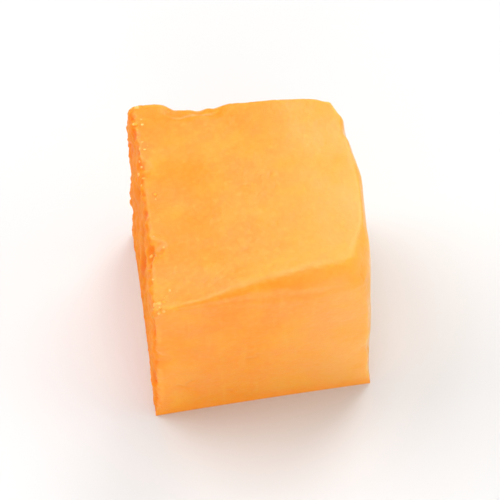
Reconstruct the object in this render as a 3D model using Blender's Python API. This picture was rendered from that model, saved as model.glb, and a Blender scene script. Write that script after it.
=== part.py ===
"""One chunk of ripe cantaloupe, peeled and cut to a rough cube, as one solid.

Metres, +Z up. The origin is at the bottom centre of the chunk's own box. The front cut faces -Y, the side
that lay under the rind faces +X, and the side that lay next to the seed cavity faces -X. The chunk stands on
a flat cut at z = 0.
"""

import math

import bmesh
import bpy
from mathutils import Vector, noise

MM = 0.001

# Driving dimensions, in millimetres: a true box, before the knife's unevenness below.
WIDTH = 29.0  # X, from the seed cavity's side to the rind's side
DEPTH = 31.0  # Y, from the front cut to the back cut
HEIGHT = 25.0  # Z, thickness of the slice the chunk was diced from

# How far each corner departs from the true box, by its side on X, Y and Z.
CORNER_SHIFTS = {
    (-1, -1, -1): (0.7, 0.5, 0.0),
    (1, -1, -1): (-0.1, 1.8, 0.0),
    (-1, 1, -1): (1.3, -0.3, 0.0),
    (1, 1, -1): (-0.4, -0.9, 0.0),
    (-1, -1, 1): (0.4, -0.9, -1.2),
    (1, -1, 1): (-0.5, 0.9, -0.1),
    (-1, 1, 1): (1.7, 1.6, -0.4),
    (1, 1, 1): (-0.7, -1.3, 0.4),
}

# How far the middle of each face stands out from its flat cut.
RIND_SIDE_CROWN = 1.5
CAVITY_SIDE_CROWN = -0.7
FRONT_CROWN = 0.35
BACK_CROWN = 0.3
TOP_CROWN = 0.4

EDGE_RADIUS = 0.85
ROLLED_EDGE_RADIUS = 3.8  # the soft edge between the top and the front
ROLLED_EDGE_SPAN = (-0.7, 0.5)  # shares of the half width over which it grows from crisp to soft

# The base was cut on a board, so its outline is crisp: edge radii and crowns grow from nothing at z = 0 to
# their full size over these heights. Between its corners each base edge draws in a little, so that the chunk
# stands on four points.
EDGE_RISE = 3.0
CROWN_RISE = 13.0
BASE_EDGE_HOLLOW = 0.12

# Relief that a hand feels: swells of the cut faces, peeling strokes and strands of the cavity's side.
SWELL_HEIGHT = 0.32
SWELL_LENGTH = 9.0
KNIFE_WAVE_HEIGHT = 0.035
KNIFE_WAVE_LENGTH = 6.2
KNIFE_WAVE_ANGLE = math.radians(24)
PEEL_STROKE_WIDTH = 9.5
PEEL_STROKE_DEPTH = 0.22
STRAND_HEIGHT = 0.45
STRAND_WIDTH = 2.6
STRAND_STRETCH = 2.2  # how much longer than wide a strand is
CAVITY_LUMP_HEIGHT = 0.45
CAVITY_LUMP_LENGTH = 4.5
BASE_BLEND_HEIGHT = 6.0  # the relief grows from nothing at the base to its full height here

# Bites that came off along the edges: centre as shares of the half sizes, radius and depth. Each is pushed in
# across the faces that its whole shares name.
NICKS = (
    ((-1.0, -0.42, 1.0), 2.2, 0.7),
    ((-1.0, 0.35, 1.0), 1.8, 0.45),
    ((-0.50, 1.0, 1.0), 3.6, 0.9),
    ((-0.24, 1.0, 1.0), 3.0, 0.65),
    ((1.0, 1.0, 0.9), 3.4, 0.8),
    ((1.0, 0.62, 1.0), 2.0, 0.35),
    ((-1.0, -1.0, 0.1), 2.6, 0.4),
    ((1.0, -1.0, -0.35), 2.6, 0.25),
)
NICK_UNEVENNESS = 0.3  # how much a nick's radius varies, over the length below
NICK_UNEVEN_LENGTH = 2.5

GRID_CUTS = 27  # cuts along each edge of the cube that is shaped into the chunk
EDGE_CROWDING = 0.8  # 0 spreads the grid evenly; towards 1 its lines crowd the edges

SHARP_ANGLE = math.radians(55)  # only the base's edges are sharper than this

FLESH_COLOUR = (0.90, 0.36, 0.06, 1.0)
FLESH_ROUGHNESS = 0.35

HALF_SIZE = Vector((WIDTH / 2, DEPTH / 2, HEIGHT / 2))


def clear_scene():
    for obj in list(bpy.data.objects):
        bpy.data.objects.remove(obj)


def smooth_step(low, high, value):
    share = min(max((value - low) / (high - low), 0.0), 1.0)
    return share * share * (3 - 2 * share)


def soft_noise(point):
    """Noise from -1 to 1 without breaks in its curvature, which would show in the gloss."""
    return noise.noise(point, noise_basis="PERLIN_NEW")


def crowd_towards_edges(share):
    """Moves a grid line, at -1 to 1 across a face, towards the nearer edge."""
    bent = math.sin(share * math.pi / 2)
    return (1 - EDGE_CROWDING) * share + EDGE_CROWDING * bent


def rise_above_base(unit, full_height):
    """0 at the base, growing to 1 at a height above it."""
    return smooth_step(0.0, full_height, (unit.z + 1) * HALF_SIZE.z)


def edge_radius_at(unit):
    """The edge radius near a point of the -1 to 1 cube: larger along the edge between top and front."""
    rolled = smooth_step(0.3, 0.95, unit.z) * smooth_step(0.3, 0.95, -unit.y)
    rolled *= smooth_step(*ROLLED_EDGE_SPAN, unit.x)
    full = EDGE_RADIUS + (ROLLED_EDGE_RADIUS - EDGE_RADIUS) * rolled
    return full * rise_above_base(unit, EDGE_RISE)


def rounded_box_point(unit):
    """The point of a rounded box, centred on the origin, that stands for a point of the -1 to 1 cube."""
    radius = edge_radius_at(unit)
    corner = Vector(u * h for u, h in zip(unit, HALF_SIZE))
    core = Vector(
        min(max(c, radius - h), h - radius) for c, h in zip(corner, HALF_SIZE)
    )
    return core + (corner - core).normalized() * radius


def knife_skew(unit):
    """How far the uneven cuts move a point, from the shifts of the eight corners."""
    total = Vector()
    for sides, shift in CORNER_SHIFTS.items():
        weight = 1.0
        for side, share in zip(sides, unit):
            weight *= (1 + side * share) / 2
        total += Vector(shift) * weight
    return total


def crowns(unit):
    """How far the faces' crowns move a point outwards. Each fades towards the opposite face."""
    bow_x, bow_y, bow_z = (1 - share * share for share in unit)
    rise = rise_above_base(unit, CROWN_RISE)
    hollow = BASE_EDGE_HOLLOW * (1 - rise)
    side_crown = RIND_SIDE_CROWN if unit.x > 0 else CAVITY_SIDE_CROWN
    end_crown = BACK_CROWN if unit.y > 0 else FRONT_CROWN
    return Vector(
        (
            unit.x * bow_y * (side_crown * rise * (0.6 + 0.4 * bow_z) - hollow),
            unit.y * bow_x * (end_crown * rise * bow_z - hollow),
            TOP_CROWN * max(unit.z, 0.0) * bow_x * bow_y,
        )
    )


def form_point(unit):
    """The chunk's smooth form, in millimetres with z from 0: rounded box, skewed cuts and crowns."""
    point = rounded_box_point(unit)
    share = Vector(p / h for p, h in zip(point, HALF_SIZE))
    point += knife_skew(share) + crowns(share)
    point.z += HALF_SIZE.z
    return point


def knife_waves(point):
    """Shallow ripples across the blade's path on the cut faces."""
    across = point.x * math.sin(KNIFE_WAVE_ANGLE) + point.y * math.cos(KNIFE_WAVE_ANGLE)
    across += point.z * 0.6 + 1.5 * soft_noise(point / 7)
    return KNIFE_WAVE_HEIGHT * math.sin(2 * math.pi * across / KNIFE_WAVE_LENGTH)


def peel_strokes(point):
    """The rind was pared off in straight strokes, so its side is a run of flats and not one curve."""
    stroke = point.y / PEEL_STROKE_WIDTH + 0.12 * math.sin(point.z / 6)
    off_middle = 2 * (stroke - math.floor(stroke) - 0.5)
    return -PEEL_STROKE_DEPTH * (1 - off_middle * off_middle)


def cavity_strands(point):
    """Lumps and ropy strands of soft flesh that held the seeds."""
    warp = soft_noise(point / 5) * 1.2
    sample = Vector(
        (0.0, point.y + warp, (point.z + 2 * warp) / STRAND_STRETCH)
    ) / STRAND_WIDTH
    ridge = 1 - 2 * abs(soft_noise(sample))
    lumps = CAVITY_LUMP_HEIGHT * soft_noise(point / CAVITY_LUMP_LENGTH)
    return STRAND_HEIGHT * (ridge - 0.6) + lumps


def relief(point, normal):
    """How far the surface stands out from the smooth form, along its normal."""
    cavity_side = smooth_step(0.35, 0.85, -normal.x)
    rind_side = smooth_step(0.35, 0.85, normal.x)
    cut_face = 1 - max(cavity_side, rind_side)
    height = SWELL_HEIGHT * soft_noise(point / SWELL_LENGTH)
    height += cut_face * knife_waves(point)
    height += rind_side * peel_strokes(point)
    height += cavity_side * cavity_strands(point)
    return height * smooth_step(0.0, BASE_BLEND_HEIGHT, point.z)


def nick_move(point):
    """How far the nicks push in a point of the form."""
    uneven = 1 + NICK_UNEVENNESS * soft_noise(point / NICK_UNEVEN_LENGTH)
    move = Vector()
    for shares, radius, depth in NICKS:
        reach = (point - form_point(Vector(shares))).length / (radius * uneven)
        outwards = Vector(math.trunc(share) for share in shares).normalized()
        move -= outwards * depth * (1 - smooth_step(0.2, 1.0, reach))
    return move


def flesh_material():
    material = bpy.data.materials.new("melon_flesh")
    material.use_nodes = True
    shader = material.node_tree.nodes["Principled BSDF"]
    shader.inputs["Base Color"].default_value = FLESH_COLOUR
    shader.inputs["Roughness"].default_value = FLESH_ROUGHNESS
    shader.inputs["Metallic"].default_value = 0.0
    material.diffuse_color = FLESH_COLOUR
    return material


def shape_chunk(grid):
    """Moves the vertices of a subdivided -1 to 1 cube onto the chunk, still in millimetres."""
    for vertex in grid.verts:
        unit = Vector(crowd_towards_edges(share) for share in vertex.co)
        vertex.co = form_point(unit)
    grid.normal_update()
    moves = [
        vertex.normal * relief(vertex.co, vertex.normal) + nick_move(vertex.co)
        for vertex in grid.verts
    ]
    for vertex, move in zip(grid.verts, moves):
        vertex.co += move
        vertex.co.z = max(vertex.co.z, 0.0)


def centre_on_base(grid):
    """Puts the middle of the chunk's box, seen from above, on the Z axis."""
    xs = [vertex.co.x for vertex in grid.verts]
    ys = [vertex.co.y for vertex in grid.verts]
    middle = Vector(((min(xs) + max(xs)) / 2, (min(ys) + max(ys)) / 2, 0.0))
    bmesh.ops.translate(grid, verts=grid.verts, vec=-middle)


def build_chunk():
    grid = bmesh.new()
    bmesh.ops.create_cube(grid, size=2.0)
    bmesh.ops.subdivide_edges(
        grid, edges=grid.edges[:], cuts=GRID_CUTS, use_grid_fill=True
    )
    shape_chunk(grid)
    centre_on_base(grid)
    bmesh.ops.scale(grid, verts=grid.verts, vec=(MM, MM, MM))
    bmesh.ops.recalc_face_normals(grid, faces=grid.faces[:])
    mesh = bpy.data.meshes.new("cantaloupe_cube")
    grid.to_mesh(mesh)
    grid.free()
    mesh.shade_smooth()
    mesh.set_sharp_from_angle(angle=SHARP_ANGLE)
    mesh.materials.append(flesh_material())
    chunk = bpy.data.objects.new("cantaloupe_cube", mesh)
    bpy.context.scene.collection.objects.link(chunk)
    return chunk


def main():
    clear_scene()
    build_chunk()


main()
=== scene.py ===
"""Looks of one cantaloupe cube: its fine surface, moist flesh, crumbs and juice beads, on a pale floor.

The form's lengths are millimetres, with z from 0 at the flat base, and become metres when a mesh is made.
The front cut faces -Y, the side that lay under the rind +X, and the seed cavity's side -X.
"""

import math
import random

import bmesh
import bpy
import numpy as np
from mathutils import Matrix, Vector, noise


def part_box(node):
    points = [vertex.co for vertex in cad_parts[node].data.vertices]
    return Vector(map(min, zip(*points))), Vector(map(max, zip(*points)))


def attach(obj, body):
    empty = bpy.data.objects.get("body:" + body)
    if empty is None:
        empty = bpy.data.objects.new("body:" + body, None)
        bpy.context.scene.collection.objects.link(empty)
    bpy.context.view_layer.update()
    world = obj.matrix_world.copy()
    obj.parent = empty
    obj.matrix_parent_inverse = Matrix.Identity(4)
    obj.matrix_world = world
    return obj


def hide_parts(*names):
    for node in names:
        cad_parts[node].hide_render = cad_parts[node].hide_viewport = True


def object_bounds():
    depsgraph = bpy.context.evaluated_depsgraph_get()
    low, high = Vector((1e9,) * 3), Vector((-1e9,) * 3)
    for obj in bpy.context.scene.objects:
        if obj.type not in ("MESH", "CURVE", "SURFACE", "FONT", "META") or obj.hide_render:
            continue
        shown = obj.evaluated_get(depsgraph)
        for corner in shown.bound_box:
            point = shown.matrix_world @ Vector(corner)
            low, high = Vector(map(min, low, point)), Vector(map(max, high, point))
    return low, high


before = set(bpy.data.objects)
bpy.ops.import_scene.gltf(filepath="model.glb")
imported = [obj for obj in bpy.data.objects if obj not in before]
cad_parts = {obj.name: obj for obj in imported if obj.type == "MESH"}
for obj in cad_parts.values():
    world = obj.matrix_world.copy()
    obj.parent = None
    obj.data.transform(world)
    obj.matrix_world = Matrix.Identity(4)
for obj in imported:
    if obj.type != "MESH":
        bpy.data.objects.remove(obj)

CAD_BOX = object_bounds()
NODE, BODY, SLOT = "cantaloupe_cube", "root", "melon_flesh"
MM = 0.001

# ---- The chunk's form, with the same values as the solid ----

WIDTH = 29.0
DEPTH = 31.0
HEIGHT = 25.0
HALF_SIZE = Vector((WIDTH / 2, DEPTH / 2, HEIGHT / 2))
CORNER_SHIFTS = {
    (-1, -1, -1): (0.7, 0.5, 0.0),
    (1, -1, -1): (-0.1, 1.8, 0.0),
    (-1, 1, -1): (1.3, -0.3, 0.0),
    (1, 1, -1): (-0.4, -0.9, 0.0),
    (-1, -1, 1): (0.4, -0.9, -1.2),
    (1, -1, 1): (-0.5, 0.9, -0.1),
    (-1, 1, 1): (1.7, 1.6, -0.4),
    (1, 1, 1): (-0.7, -1.3, 0.4),
}
RIND_SIDE_CROWN = 1.5
CAVITY_SIDE_CROWN = -0.7
FRONT_CROWN = 0.35
BACK_CROWN = 0.3
TOP_CROWN = 0.4
EDGE_RADIUS = 0.85
ROLLED_EDGE_RADIUS = 3.8
ROLLED_EDGE_SPAN = (-0.7, 0.5)
EDGE_RISE = 3.0
CROWN_RISE = 13.0
BASE_EDGE_HOLLOW = 0.12
SWELL_HEIGHT = 0.32
SWELL_LENGTH = 9.0
KNIFE_WAVE_HEIGHT = 0.035
KNIFE_WAVE_LENGTH = 6.2
KNIFE_WAVE_ANGLE = math.radians(24)
PEEL_STROKE_WIDTH = 9.5
PEEL_STROKE_DEPTH = 0.22
STRAND_HEIGHT = 0.45
STRAND_WIDTH = 2.6
STRAND_STRETCH = 2.2
CAVITY_LUMP_HEIGHT = 0.45
CAVITY_LUMP_LENGTH = 4.5
BASE_BLEND_HEIGHT = 6.0
NICKS = (
    ((-1.0, -0.42, 1.0), 2.2, 0.7),
    ((-1.0, 0.35, 1.0), 1.8, 0.45),
    ((-0.50, 1.0, 1.0), 3.6, 0.9),
    ((-0.24, 1.0, 1.0), 3.0, 0.65),
    ((1.0, 1.0, 0.9), 3.4, 0.8),
    ((1.0, 0.62, 1.0), 2.0, 0.35),
    ((-1.0, -1.0, 0.1), 2.6, 0.4),
    ((1.0, -1.0, -0.35), 2.6, 0.25),
)
NICK_UNEVENNESS = 0.3
NICK_UNEVEN_LENGTH = 2.5

# ---- What the fine mesh adds to it ----

GRID_CUTS = 122  # gives 181,548 triangles
EDGE_CROWDING = 0.45
SHARP_ANGLE = math.radians(55)
FINE_BLEND_HEIGHT = 0.8  # the fine relief fades out this far above the base
# Torn flesh along the edges: its height on the knife's clean edges and beside the seed cavity.
TEAR_HEIGHT = 0.035
CAVITY_TEAR_HEIGHT = 0.16
TEAR_LENGTH = 0.75
# Small lumps of the flesh: on the cut faces and on the cavity's side.
GRAIN_HEIGHT = 0.03
CAVITY_GRAIN_HEIGHT = 0.22
GRAIN_LENGTH = 1.5
# Fine strands on the cavity's side, over the large ones.
FINE_STRAND_HEIGHT = 0.10
FINE_STRAND_WIDTH = 0.9
FINE_STRAND_STRETCH = 2.2
# Veins that the knife cut across: short squiggles, a little sunken, by the face they are on.
VEINS_ON_FACE = {
    (0, 0, 1): 3,
    (0, -1, 0): 4,
    (0, 1, 0): 5,
    (1, 0, 0): 2,
    (-1, 0, 0): 2,
    (0, 0, -1): 4,
}
VEIN_SEED = 11
VEIN_REACH = 0.78  # how far from a face's middle they lie, as a share of its half size
VEIN_POINTS = (3, 7)
VEIN_STEP = 0.30
VEIN_RADIUS = (0.26, 0.42)
VEIN_DEPTH = 0.09

# ---- Crumbs and juice beads, along the top edge of the cavity's side ----

EDGE_STRIP_WIDTH = 3.2
EDGE_STRIP_HEIGHT = 3.4
EDGE_STRIP_SLOPE = 0.15  # the least upward lean of a surface that a crumb or bead can lie on
CRUMB_SEED, CRUMB_COUNT = 5, 16
CRUMB_RADIUS = (0.14, 0.32)
CRUMB_HEIGHT = (0.6, 0.9)  # as a share of its radius
CRUMB_LUMPINESS = 0.7
CRUMB_LUMPS = (2.3, 5.1)  # coarse and fine lumps for each millimetre
BLOB_SUBDIVISIONS = 3
BEAD_SEED, BEAD_COUNT = 8, 34
BEAD_RADIUS = (0.09, 0.24)
BEAD_HEIGHT = 0.55  # how high a bead stands, as a share of its radius
SUNK = 0.3  # how deep crumbs and beads sit, as a share of their radius

# ---- How light travels and how moist the flesh is ----

SCATTER_DEPTH = 1.7
SCATTER_RISE = (0.3, 2.2)  # scattering starts between these heights, as it would dull the base edge
ROUGHNESS = (0.34, 0.48)
ROUGH_PATCH = 5.0
CAVITY_EXTRA_ROUGHNESS = 0.25
FILM = (0.6, 1.0)  # the film of juice, thin and full
FILM_PATCH = 6.5
CAVITY_FILM = 0.15  # the film on the cavity's side, as a share of the film on the cuts
FLESH_SETTINGS = {
    "Subsurface Radius": (1.0, 0.6, 0.35),
    "Subsurface Scale": SCATTER_DEPTH * MM,
    "IOR": 1.38,
    "Specular IOR Level": 0.3,
    "Coat Roughness": 0.36,
    "Coat IOR": 1.34,
}
JUICE_SETTINGS = {"IOR": 1.4, "Coat Weight": 1.0, "Coat Roughness": 0.03}
JUICE_ROUGHNESS = (0.04, 0.12)

# ---- The flesh's grain, too fine for the mesh ----

GRAIN_BUMP = 0.045  # height of the finest grain
FILM_BUMP = 0.017  # the same grain under its film of juice
FIBRE_STRETCH = (1.2, 1.2, 9.0)  # fibres run up and down, as the large strands do
CELL_BUMP_SIZE, CELL_BUMP = 0.45, -0.7
FIBRE_BUMP_WIDTH, FIBRE_BUMP = 0.5, 0.5
LUMP_BUMP_SIZE, LUMP_BUMP = 1.9, 0.6
TORN_BUMP_SIZE, TORN_BUMP = 0.35, 1.2

# ---- The flesh's patterns and its painted light and shade: sizes in millimetres, and the largest share of each one's tint ----

DRIFT_LENGTH, DRIFT_REACH = 9.0, 9.0  # the colours' bounds wander this far
MIDDLE_SPAN = (-WIDTH / 2 + 2.5, 5.0)
RIND_SPAN = (2.5, WIDTH / 2 + 4.5)
# Painted bounce light: the rind's side is tinted a warmer orange, as light thrown back by flesh tints it
# in shade
RIND_SIDE_PAINTED_BOUNCE_SHARE = 0.5
NET_SIZE, NET_SHARE = 2.4, 0.45
MOTTLE_SIZE, MOTTLE_SHARE = 5.0, 0.6
FIBRE_WIDTH, FIBRE_SHARE = 0.85, 0.25
CELL_SIZE, CELL_SHARE = 0.7, 0.12
# Share of the painted highlight, a pale band behind the soft edge
PAINTED_HIGHLIGHT_SHARE = 0.4
CAVITY_SHARE = 0.85
# Painted shade in the hollows between the strands of the cavity's side
HOLLOW_PAINTED_SHADE_SHARE = 0.7
PAINTED_BASE_SHADE_HEIGHT, PAINTED_BASE_SHARE = 2.2, 0.6  # near the base it is painted deeper and redder, a painted contact shade
VEIN_SHARE = 0.35
# A painted highlight: a pale band painted on the top behind the soft edge, where a lamp's sheen lies.
# Where it starts and where part of it fades again, in half widths, and how far back it reaches.
PAINTED_HIGHLIGHT_SPAN = (-0.4, 0.25)
PAINTED_HIGHLIGHT_FADE_SPAN = (0.1, 0.7)
PAINTED_HIGHLIGHT_FADE = 0.7
PAINTED_HIGHLIGHT_DEPTH = 5.5

# ---- Colours, linear ----

NEAR_CAVITY_ORANGE = (0.88, 0.285, 0.011, 1.0)
MIDDLE_ORANGE = (0.89, 0.295, 0.010, 1.0)
RIND_YELLOW = (0.90, 0.405, 0.072, 1.0)
MOTTLE_YELLOW = (0.89, 0.365, 0.018, 1.0)
FIBRE_CREAM = (0.89, 0.480, 0.070, 1.0)
CAVITY_ORANGE = (0.87, 0.225, 0.006, 1.0)
# Painted shade, darker and redder, for the hollows between strands
HOLLOW_PAINTED_SHADE = (0.84, 0.150, 0.003, 1.0)
# Painted contact shade near the base
PAINTED_BASE_SHADE = (0.95, 0.275, 0.009, 1.0)
CRUMB_CREAM = (0.97, 0.520, 0.130, 1.0)
VEIN_TAN = (0.78, 0.250, 0.018, 1.0)
# Pale juice colour, partly a painted glint
JUICE_TINT_AND_PAINTED_GLINT = (0.92, 0.520, 0.120, 1.0)
FLOOR_SETTINGS = {
    "Base Color": (0.73, 0.73, 0.73, 1.0),
    "Roughness": 0.7,
    "Specular IOR Level": 0.2,
}

# ---- Camera, light and floor ----

VIEW_AZIMUTH = math.radians(-8)
VIEW_ELEVATION = math.radians(52)
VIEW_DISTANCE = 0.47
LENS = 262.0
SENSOR_WIDTH = 36.0
CLIP_DISTANCES = (0.05, 10.0)
FLOOR_RADIUS = 2.0
WORLD_STRENGTH = 0.33
LAMPS = (  # name, place in metres, width and height in metres, watts
    ("window", (-0.58, 0.36, 0.72), (0.85, 0.85), 5.2),
    ("overhead", (0.03, 0.10, 0.92), (0.50, 0.62), 3.2),
    ("back_softbox", (0.38, 0.58, 0.76), (0.50, 0.50), 3.3),
    ("front_softbox", (-0.10, -0.92, 0.24), (1.40, 0.45), 5.0),
    ("side_fill", (0.75, -0.20, 0.34), (0.60, 0.60), 1.3),
)


def smooth_step(low, high, value):
    share = min(max((value - low) / (high - low), 0.0), 1.0)
    return share * share * (3 - 2 * share)


def soft_noise(point):
    return noise.noise(point, noise_basis="PERLIN_NEW")


def soft_fractal(point, roughness):
    """Three octaves of soft noise."""
    return noise.fractal(point, roughness, 2.1, 3, noise_basis="PERLIN_NEW")


def crowd_towards_edges(share):
    bent = math.sin(share * math.pi / 2)
    return (1 - EDGE_CROWDING) * share + EDGE_CROWDING * bent


def rise_above_base(unit, full_height):
    return smooth_step(0.0, full_height, (unit.z + 1) * HALF_SIZE.z)


def rolled_share(unit):
    """1 on the soft edge between the top and the front."""
    rolled = smooth_step(0.3, 0.95, unit.z) * smooth_step(0.3, 0.95, -unit.y)
    return rolled * smooth_step(*ROLLED_EDGE_SPAN, unit.x)


def edge_radius_at(unit):
    full = EDGE_RADIUS + (ROLLED_EDGE_RADIUS - EDGE_RADIUS) * rolled_share(unit)
    return full * rise_above_base(unit, EDGE_RISE)


def rounded_box_point(unit):
    radius = edge_radius_at(unit)
    corner = Vector(u * h for u, h in zip(unit, HALF_SIZE))
    core = Vector(
        min(max(c, radius - h), h - radius) for c, h in zip(corner, HALF_SIZE)
    )
    return core + (corner - core).normalized() * radius


def knife_skew(unit):
    total = Vector()
    for sides, shift in CORNER_SHIFTS.items():
        weight = 1.0
        for side, share in zip(sides, unit):
            weight *= (1 + side * share) / 2
        total += Vector(shift) * weight
    return total


def crowns(unit):
    bow_x, bow_y, bow_z = (1 - share * share for share in unit)
    rise = rise_above_base(unit, CROWN_RISE)
    hollow = BASE_EDGE_HOLLOW * (1 - rise)
    side_crown = RIND_SIDE_CROWN if unit.x > 0 else CAVITY_SIDE_CROWN
    end_crown = BACK_CROWN if unit.y > 0 else FRONT_CROWN
    return Vector(
        (
            unit.x * bow_y * (side_crown * rise * (0.6 + 0.4 * bow_z) - hollow),
            unit.y * bow_x * (end_crown * rise * bow_z - hollow),
            TOP_CROWN * max(unit.z, 0.0) * bow_x * bow_y,
        )
    )


def form_point(unit):
    """The chunk's smooth form at a point of the -1 to 1 cube."""
    point = rounded_box_point(unit)
    share = Vector(p / h for p, h in zip(point, HALF_SIZE))
    point += knife_skew(share) + crowns(share)
    point.z += HALF_SIZE.z
    return point


NICK_PLACES = [  # centre, outward direction, radius and depth
    (form_point(Vector(at)), Vector(math.trunc(s) for s in at).normalized(), radius, depth)
    for at, radius, depth in NICKS
]


def side_shares(normal):
    """How far a surface belongs to the cavity's side and to the rind's side."""
    return smooth_step(0.35, 0.85, -normal.x), smooth_step(0.35, 0.85, normal.x)


def knife_waves(point):
    across = point.x * math.sin(KNIFE_WAVE_ANGLE) + point.y * math.cos(KNIFE_WAVE_ANGLE)
    across += point.z * 0.6 + 1.5 * soft_noise(point / 7)
    return KNIFE_WAVE_HEIGHT * math.sin(2 * math.pi * across / KNIFE_WAVE_LENGTH)


def peel_strokes(point):
    stroke = point.y / PEEL_STROKE_WIDTH + 0.12 * math.sin(point.z / 6)
    off_middle = 2 * (stroke - math.floor(stroke) - 0.5)
    return -PEEL_STROKE_DEPTH * (1 - off_middle * off_middle)


def strand_ridge(point, width, stretch):
    """1 on a strand's crest and down to -1 beside it."""
    warp = soft_noise(point / 5) * 1.2
    sample = Vector((0.0, point.y + warp, (point.z + 2 * warp) / stretch)) / width
    return 1 - 2 * abs(soft_noise(sample))


def large_relief(point, normal):
    cavity_side, rind_side = side_shares(normal)
    cut_face = 1 - max(cavity_side, rind_side)
    height = SWELL_HEIGHT * soft_noise(point / SWELL_LENGTH)
    height += cut_face * knife_waves(point)
    height += rind_side * peel_strokes(point)
    ridge = strand_ridge(point, STRAND_WIDTH, STRAND_STRETCH)
    lumps = CAVITY_LUMP_HEIGHT * soft_noise(point / CAVITY_LUMP_LENGTH)
    height += cavity_side * (STRAND_HEIGHT * (ridge - 0.6) + lumps)
    return height * smooth_step(0.0, BASE_BLEND_HEIGHT, point.z)


def nick_move(point):
    uneven = 1 + NICK_UNEVENNESS * soft_noise(point / NICK_UNEVEN_LENGTH)
    move = Vector()
    for centre, outwards, radius, depth in NICK_PLACES:
        reach = (point - centre).length / (radius * uneven)
        move -= outwards * depth * (1 - smooth_step(0.2, 1.0, reach))
    return move


def edge_share(unit):
    """1 on a torn edge of the cube, fading over a short way to 0 on its faces and on the soft edge."""
    nearest_two = sorted((abs(share) for share in unit), reverse=True)[:2]
    soft = rolled_share(unit) * (1 - smooth_step(0.8, 1.0, abs(unit.x)))
    return smooth_step(0.90, 0.985, nearest_two[1]) * (1 - soft)


def fine_relief(point, normal, edge):
    """Torn edges and fine strands."""
    cavity_side, _ = side_shares(normal)
    near_cavity = max(cavity_side, smooth_step(0.55, 0.98, -point.x / HALF_SIZE.x))
    tear = TEAR_HEIGHT + (CAVITY_TEAR_HEIGHT - TEAR_HEIGHT) * near_cavity
    rough = soft_fractal(point / TEAR_LENGTH, 0.6)
    height = edge * tear * (rough - 0.25)
    grain = GRAIN_HEIGHT + (CAVITY_GRAIN_HEIGHT - GRAIN_HEIGHT) * cavity_side
    height += grain * soft_fractal(point / GRAIN_LENGTH, 0.8)
    ridge = strand_ridge(point * 1.3, FINE_STRAND_WIDTH, FINE_STRAND_STRETCH)
    height += cavity_side * FINE_STRAND_HEIGHT * (ridge - 0.6)
    return height * smooth_step(0.0, FINE_BLEND_HEIGHT, point.z)


def hollow_share(point, normal):
    """Where shade is painted: 1 deep between the strands of the cavity's side, 0 on their crests and on
    every other face.
    """
    cavity_side, _ = side_shares(normal)
    ridge = strand_ridge(point, STRAND_WIDTH, STRAND_STRETCH)
    lump = soft_fractal(point / GRAIN_LENGTH, 0.8)
    return cavity_side * smooth_step(-0.75, 0.55, 0.35 - ridge - 0.5 * lump)


def painted_highlight_at(unit):
    """Where the highlight is painted: 1 on the top just behind the soft edge, fading towards the back, the
    sides and down the edge.
    """
    behind = (unit.y + 1) * HALF_SIZE.y - edge_radius_at(unit)
    share = smooth_step(*PAINTED_HIGHLIGHT_SPAN, unit.x)
    share *= 1 - PAINTED_HIGHLIGHT_FADE * smooth_step(*PAINTED_HIGHLIGHT_FADE_SPAN, unit.x)
    share *= smooth_step(0.97, 1.0, unit.z)
    return share * smooth_step(-1.6, 0.2, behind) * (1 - smooth_step(1.0, PAINTED_HIGHLIGHT_DEPTH, behind))


def vein_squiggles():
    """Each cut vein as (points, radius): a short wandering line on a face of the form."""
    draw = random.Random(VEIN_SEED)
    squiggles = []
    for face, count in VEINS_ON_FACE.items():
        across = [axis for axis in range(3) if face[axis] == 0]
        for _ in range(count):
            unit = Vector(face)
            for axis in across:
                unit[axis] = draw.uniform(-VEIN_REACH, VEIN_REACH)
            heading = draw.uniform(0, 2 * math.pi)
            points = []
            for _ in range(draw.randint(*VEIN_POINTS)):
                points.append(form_point(unit))
                heading += draw.uniform(-0.9, 0.9)
                for axis, turn in zip(across, (math.cos(heading), math.sin(heading))):
                    unit[axis] += turn * VEIN_STEP / HALF_SIZE[axis]
            squiggles.append((points, draw.uniform(*VEIN_RADIUS)))
    return squiggles


def vein_shares(places):
    """For each of many points, 1 on a cut vein's line, fading to 0 at its radius."""
    shares = np.zeros(len(places))
    for points, radius in vein_squiggles():
        for point in points:
            reach = np.linalg.norm(places - np.array(point), axis=1) / radius
            near = np.clip(1 - reach, 0.0, 1.0)
            shares = np.maximum(shares, near * near * (3 - 2 * near))
    return shares


def add_measure(mesh, name, values):
    layer = mesh.attributes.new(name, "FLOAT", "POINT")
    layer.data.foreach_set("value", np.asarray(values, dtype=np.float32))


def make_object(name, grid, material):
    """Turns a bmesh in millimetres into a smooth-shaded object in metres."""
    bmesh.ops.scale(grid, verts=grid.verts, vec=(MM, MM, MM))
    bmesh.ops.recalc_face_normals(grid, faces=grid.faces[:])
    mesh = bpy.data.meshes.new(name)
    grid.to_mesh(mesh)
    grid.free()
    mesh.shade_smooth()
    mesh.materials.append(material)
    made = bpy.data.objects.new(name, mesh)
    bpy.context.scene.collection.objects.link(made)
    return made


def centre_over_cad(grid):
    """Moves the chunk sideways, so that its box has the CAD node's middle."""
    low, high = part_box(NODE)
    middle = (Vector(low) + Vector(high)) / (2 * MM)
    xs = [vertex.co.x for vertex in grid.verts]
    ys = [vertex.co.y for vertex in grid.verts]
    shift = Vector(
        (middle.x - (min(xs) + max(xs)) / 2, middle.y - (min(ys) + max(ys)) / 2, 0.0)
    )
    bmesh.ops.translate(grid, verts=grid.verts, vec=shift)


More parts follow.
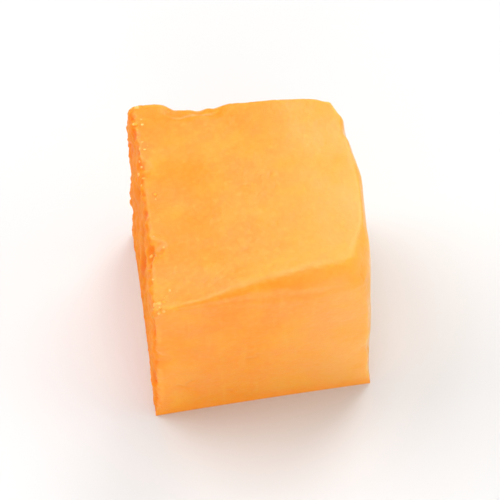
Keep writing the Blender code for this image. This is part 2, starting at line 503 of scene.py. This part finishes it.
def build_chunk(material):
    grid = bmesh.new()
    bmesh.ops.create_cube(grid, size=2.0)
    bmesh.ops.subdivide_edges(
        grid, edges=grid.edges[:], cuts=GRID_CUTS, use_grid_fill=True
    )
    edges, painted_highlights = [], []
    for vertex in grid.verts:
        unit = Vector(crowd_towards_edges(share) for share in vertex.co)
        edges.append(edge_share(unit))
        painted_highlights.append(painted_highlight_at(unit))
        vertex.co = form_point(unit)
    grid.normal_update()
    normals = [vertex.normal.copy() for vertex in grid.verts]
    places = np.array([vertex.co[:] for vertex in grid.verts])
    veins = vein_shares(places)
    hollows = [
        hollow_share(vertex.co, normal) for vertex, normal in zip(grid.verts, normals)
    ]
    for vertex, normal, edge, vein in zip(grid.verts, normals, edges, veins):
        point = vertex.co.copy()
        height = large_relief(point, normal) + fine_relief(point, normal, edge)
        height -= VEIN_DEPTH * vein * smooth_step(0.0, FINE_BLEND_HEIGHT, point.z)
        vertex.co = point + normal * height + nick_move(point)
        vertex.co.z = max(vertex.co.z, 0.0)
    centre_over_cad(grid)
    chunk = make_object("melon_chunk", grid, material)
    chunk.data.set_sharp_from_angle(angle=SHARP_ANGLE)
    cavity, rind = zip(*(side_shares(normal) for normal in normals))
    add_measure(chunk.data, "cavity", cavity)
    add_measure(chunk.data, "rind", rind)
    add_measure(chunk.data, "painted_highlight", painted_highlights)
    add_measure(chunk.data, "hollow", hollows)
    add_measure(chunk.data, "torn", edges)
    add_measure(chunk.data, "vein", veins)
    return chunk


def edge_spots(chunk, count, draw):
    """Places and normals, in millimetres, along the cavity's top edge."""
    spots = []
    vertices = chunk.data.vertices
    left = min(vertex.co.x for vertex in vertices)
    top = max(vertex.co.z for vertex in vertices)
    edge = [
        vertex
        for vertex in vertices
        if vertex.co.x < left + EDGE_STRIP_WIDTH * MM
        and vertex.co.z > top - EDGE_STRIP_HEIGHT * MM
        and vertex.normal.z > EDGE_STRIP_SLOPE
    ]
    for _ in range(count):
        vertex = draw.choice(edge)
        spots.append((vertex.co / MM, vertex.normal.copy()))
    return spots


def add_blob(grid, place, normal, radius, height_share):
    """A small round body on the surface, sunk in by a share of its radius. Returns its vertices."""
    made = bmesh.ops.create_icosphere(
        grid, subdivisions=BLOB_SUBDIVISIONS, radius=radius
    )["verts"]
    turn = normal.to_track_quat("Z", "Y")
    for vertex in made:
        flat = Vector((vertex.co.x, vertex.co.y, vertex.co.z * height_share))
        vertex.co = place + turn @ flat - normal * radius * height_share * SUNK
    return made


def build_crumbs(chunk, material):
    draw = random.Random(CRUMB_SEED)
    grid = bmesh.new()
    for place, normal in edge_spots(chunk, CRUMB_COUNT, draw):
        radius = draw.uniform(*CRUMB_RADIUS)
        for vertex in add_blob(grid, place, normal, radius, draw.uniform(*CRUMB_HEIGHT)):
            coarse, fine = (soft_noise(vertex.co * rate) for rate in CRUMB_LUMPS)
            vertex.co += (vertex.co - place) * CRUMB_LUMPINESS * (coarse + 0.5 * fine)
    return make_object("flesh_crumbs", grid, material)


def build_beads(chunk, material):
    draw = random.Random(BEAD_SEED)
    grid = bmesh.new()
    for place, normal in edge_spots(chunk, BEAD_COUNT, draw):
        radius = draw.uniform(*BEAD_RADIUS)
        add_blob(grid, place, normal, radius, BEAD_HEIGHT)
    return make_object("juice_beads", grid, material)


class Nodes:
    """Short ways to add nodes to one material's tree."""

    def __init__(self, material):
        self.tree = material.node_tree

    def add(self, kind, **settings):
        node = self.tree.nodes.new(kind)
        for name, value in settings.items():
            setattr(node, name, value)
        return node

    def link(self, source, target):
        self.tree.links.new(source, target)

    def measure(self, name):
        return self.add("ShaderNodeAttribute", attribute_name=name).outputs["Fac"]

    def part_of(self, name, share):
        return self.math("MULTIPLY", self.measure(name), share)

    def split(self, vector):
        node = self.add("ShaderNodeSeparateXYZ")
        self.link(vector, node.inputs["Vector"])
        return node.outputs

    def millimetres(self, stretch=(1.0, 1.0, 1.0)):
        """The surface's own coordinates in millimetres, each divided by its stretch."""
        coordinates = self.add("ShaderNodeTexCoord")
        mapping = self.add("ShaderNodeMapping")
        mapping.inputs["Scale"].default_value = [1 / (MM * s) for s in stretch]
        self.link(coordinates.outputs["Object"], mapping.inputs["Vector"])
        return mapping.outputs["Vector"]

    def noise(self, vector, size, detail=3.0, roughness=0.5, distortion=0.0):
        node = self.add("ShaderNodeTexNoise")
        self.link(vector, node.inputs["Vector"])
        node.inputs["Scale"].default_value = 1 / size
        node.inputs["Detail"].default_value = detail
        node.inputs["Roughness"].default_value = roughness
        node.inputs["Distortion"].default_value = distortion
        return node.outputs["Fac"]

    def cells(self, vector, size, smoothness=0.6):
        node = self.add("ShaderNodeTexVoronoi", feature="SMOOTH_F1")
        self.link(vector, node.inputs["Vector"])
        node.inputs["Scale"].default_value = 1 / size
        node.inputs["Smoothness"].default_value = smoothness
        return node.outputs["Distance"]

    def remap(self, value, low, high, to_low=0.0, to_high=1.0):
        node = self.add("ShaderNodeMapRange", interpolation_type="SMOOTHSTEP")
        self.link(value, node.inputs["Value"])
        node.inputs["From Min"].default_value = low
        node.inputs["From Max"].default_value = high
        node.inputs["To Min"].default_value = to_low
        node.inputs["To Max"].default_value = to_high
        return node.outputs["Result"]

    def math(self, operation, first, second):
        node = self.add("ShaderNodeMath", operation=operation)
        for socket, value in zip(node.inputs, (first, second)):
            if isinstance(value, (int, float)):
                socket.default_value = value
            else:
                self.link(value, socket)
        return node.outputs["Value"]

    def mix(self, share, first, second):
        """Mixes two colours, each a socket or a plain colour."""
        node = self.add("ShaderNodeMix", data_type="RGBA")
        colours = [socket for socket in node.inputs if socket.type == "RGBA"]
        self.link(share, node.inputs["Factor"])
        for socket, value in zip(colours, (first, second)):
            if isinstance(value, tuple):
                socket.default_value = value
            else:
                self.link(value, socket)
        return next(out for out in node.outputs if out.type == "RGBA")


def principled(name, settings):
    material = bpy.data.materials.new(name)
    material.use_nodes = True
    shader = material.node_tree.nodes["Principled BSDF"]
    for socket, value in settings.items():
        shader.inputs[socket].default_value = value
    return material, shader


def crumb_colour(nodes):
    """Loose scraps are paler than the flesh: a cream mottled with yellow."""
    share = nodes.remap(nodes.noise(nodes.millimetres(), 1.4), 0.35, 0.65)
    return nodes.mix(share, CRUMB_CREAM, MOTTLE_YELLOW)


def flesh_colour(nodes):
    """Deep orange on the cavity's side to yellow under the rind, with each pattern's tint laid over it,
    painted bounce light, a painted highlight and painted shade among them.
    """
    place = nodes.millimetres()
    across, _, height = nodes.split(place)
    drift = nodes.math("MULTIPLY", nodes.noise(place, DRIFT_LENGTH, detail=2.0), DRIFT_REACH)
    depth = nodes.math("ADD", across, drift)
    net = nodes.remap(nodes.cells(place, NET_SIZE, smoothness=0.3), 0.40, 0.80, 0.0, NET_SHARE)
    mottle = nodes.noise(place, MOTTLE_SIZE, detail=2.0)
    fibres = nodes.noise(nodes.millimetres(FIBRE_STRETCH), FIBRE_WIDTH, detail=2.0)
    tints = (
        (nodes.remap(depth, *RIND_SPAN), RIND_YELLOW),
        # Painted bounce light: a warmer orange over the rind's side.
        (nodes.part_of("rind", RIND_SIDE_PAINTED_BOUNCE_SHARE), MOTTLE_YELLOW),
        (nodes.math("MULTIPLY", net, nodes.measure("rind")), FIBRE_CREAM),
        (nodes.remap(mottle, 0.42, 0.72, 0.0, MOTTLE_SHARE), MOTTLE_YELLOW),
        (nodes.remap(fibres, 0.55, 0.80, 0.0, FIBRE_SHARE), FIBRE_CREAM),
        (nodes.remap(nodes.cells(place, CELL_SIZE), 0.2, 0.8, CELL_SHARE, 0.0), FIBRE_CREAM),
        # A painted highlight: a pale band behind the soft edge.
        (nodes.part_of("painted_highlight", PAINTED_HIGHLIGHT_SHARE), FIBRE_CREAM),
        (nodes.part_of("cavity", CAVITY_SHARE), CAVITY_ORANGE),
        # Painted shade in the hollows between strands.
        (nodes.part_of("hollow", HOLLOW_PAINTED_SHADE_SHARE), HOLLOW_PAINTED_SHADE),
        # Painted contact shade: deeper and redder near the base.
        (nodes.remap(height, 0.0, PAINTED_BASE_SHADE_HEIGHT, PAINTED_BASE_SHARE, 0.0), PAINTED_BASE_SHADE),
        (nodes.part_of("vein", VEIN_SHARE), VEIN_TAN),
    )
    colour = nodes.mix(nodes.remap(depth, *MIDDLE_SPAN), NEAR_CAVITY_ORANGE, MIDDLE_ORANGE)
    for share, tint in tints:
        colour = nodes.mix(share, colour, tint)
    return colour


def flesh_bump(nodes):
    """The height of the flesh's grain: juice cells, fibres, small lumps and torn edges."""
    place = nodes.millimetres()
    fibres = nodes.noise(nodes.millimetres(FIBRE_STRETCH), FIBRE_BUMP_WIDTH, detail=3.0)
    lumps = nodes.noise(place, LUMP_BUMP_SIZE, detail=3.0, roughness=0.55)
    torn = nodes.math("MULTIPLY", nodes.noise(place, TORN_BUMP_SIZE), nodes.measure("torn"))
    height = nodes.math("MULTIPLY", nodes.cells(place, CELL_BUMP_SIZE), CELL_BUMP)
    for pattern, share in ((fibres, FIBRE_BUMP), (lumps, LUMP_BUMP), (torn, TORN_BUMP)):
        height = nodes.math("ADD", height, nodes.math("MULTIPLY", pattern, share))
    return height


def flesh_material(name, colour, scatters):
    """Moist melon flesh. Red light is lost in bodies smaller than its depth, so crumbs don't scatter."""
    material, shader = principled(name, FLESH_SETTINGS)
    nodes = Nodes(material)
    nodes.link(colour(nodes), shader.inputs["Base Color"])
    place = nodes.millimetres()
    patches = nodes.noise(place, ROUGH_PATCH, detail=4.0, roughness=0.6)
    rough = nodes.remap(patches, 0.35, 0.65, *ROUGHNESS)
    softer = nodes.part_of("cavity", CAVITY_EXTRA_ROUGHNESS)
    nodes.link(nodes.math("ADD", rough, softer), shader.inputs["Roughness"])
    film = nodes.remap(nodes.noise(place, FILM_PATCH, detail=3.0), 0.36, 0.62, *FILM)
    drained = nodes.remap(nodes.measure("cavity"), 0.0, 1.0, 1.0, CAVITY_FILM)
    nodes.link(nodes.math("MULTIPLY", film, drained), shader.inputs["Coat Weight"])
    height = flesh_bump(nodes)
    for depth, socket in ((GRAIN_BUMP, "Normal"), (FILM_BUMP, "Coat Normal")):
        bump = nodes.add("ShaderNodeBump")
        bump.inputs["Strength"].default_value = 1.0
        bump.inputs["Distance"].default_value = depth * MM
        nodes.link(height, bump.inputs["Height"])
        nodes.link(bump.outputs["Normal"], shader.inputs[socket])
    shader.subsurface_method = "RANDOM_WALK"
    if scatters:
        share = nodes.remap(nodes.split(place)["Z"], *SCATTER_RISE)
        nodes.link(share, shader.inputs["Subsurface Weight"])
    return material


def juice_material():
    """A drop takes its colour from the flesh under it, with a paler tint in places that is a painted
    glint, and shows by its gloss.
    """
    material, shader = principled("melon_juice", JUICE_SETTINGS)
    nodes = Nodes(material)
    place = nodes.millimetres()
    ripple = nodes.remap(nodes.noise(place, 0.6, detail=1.0), 0.3, 0.7, *JUICE_ROUGHNESS)
    nodes.link(ripple, shader.inputs["Roughness"])
    tint = nodes.remap(nodes.noise(place, 2.0), 0.3, 0.7)
    nodes.link(nodes.mix(tint, JUICE_TINT_AND_PAINTED_GLINT, MOTTLE_YELLOW), shader.inputs["Base Color"])
    return material


def build_floor():
    grid = bmesh.new()
    bmesh.ops.create_circle(grid, cap_ends=True, segments=96, radius=FLOOR_RADIUS)
    mesh = bpy.data.meshes.new("floor")
    grid.to_mesh(mesh)
    grid.free()
    mesh.materials.append(principled("pale_floor", FLOOR_SETTINGS)[0])
    floor = bpy.data.objects.new("floor", mesh)
    bpy.context.scene.collection.objects.link(floor)


def aim(obj, target):
    obj.rotation_mode = "QUATERNION"
    obj.rotation_quaternion = (target - obj.location).to_track_quat("-Z", "Y")


def add_lamps(target):
    for name, place, size, watts in LAMPS:
        lamp = bpy.data.lights.new(name, "AREA")
        lamp.shape = "ELLIPSE"
        lamp.size, lamp.size_y = size
        lamp.energy = watts
        holder = bpy.data.objects.new(name, lamp)
        bpy.context.scene.collection.objects.link(holder)
        holder.location = place
        aim(holder, target)


def set_world():
    world = bpy.data.worlds.new("studio")
    world.use_nodes = True
    background = world.node_tree.nodes["Background"]
    background.inputs["Color"].default_value = (1.0, 1.0, 1.0, 1.0)
    background.inputs["Strength"].default_value = WORLD_STRENGTH
    bpy.context.scene.world = world
    bpy.context.scene.view_settings.view_transform = "Standard"


def add_camera(target):
    camera = bpy.data.cameras.new("camera")
    camera.lens = LENS
    camera.sensor_width = SENSOR_WIDTH
    camera.clip_start, camera.clip_end = CLIP_DISTANCES
    holder = bpy.data.objects.new("camera", camera)
    bpy.context.scene.collection.objects.link(holder)
    flat = math.cos(VIEW_ELEVATION)
    back = Vector(
        (
            math.sin(VIEW_AZIMUTH) * flat,
            -math.cos(VIEW_AZIMUTH) * flat,
            math.sin(VIEW_ELEVATION),
        )
    )
    holder.location = target + back * VIEW_DISTANCE
    aim(holder, target)
    bpy.context.scene.camera = holder


def main():
    middle = (CAD_BOX[0] + CAD_BOX[1]) / 2
    add_camera(middle)
    add_lamps(middle)
    set_world()
    build_floor()
    flesh = flesh_material("melon_flesh_fine", flesh_colour, scatters=True)
    chunk = build_chunk(flesh)
    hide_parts(NODE)
    crumb_flesh = flesh_material("melon_crumb", crumb_colour, scatters=False)
    crumbs = build_crumbs(chunk, crumb_flesh)
    beads = build_beads(chunk, juice_material())
    for piece in (chunk, crumbs, beads):
        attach(piece, BODY)


main()
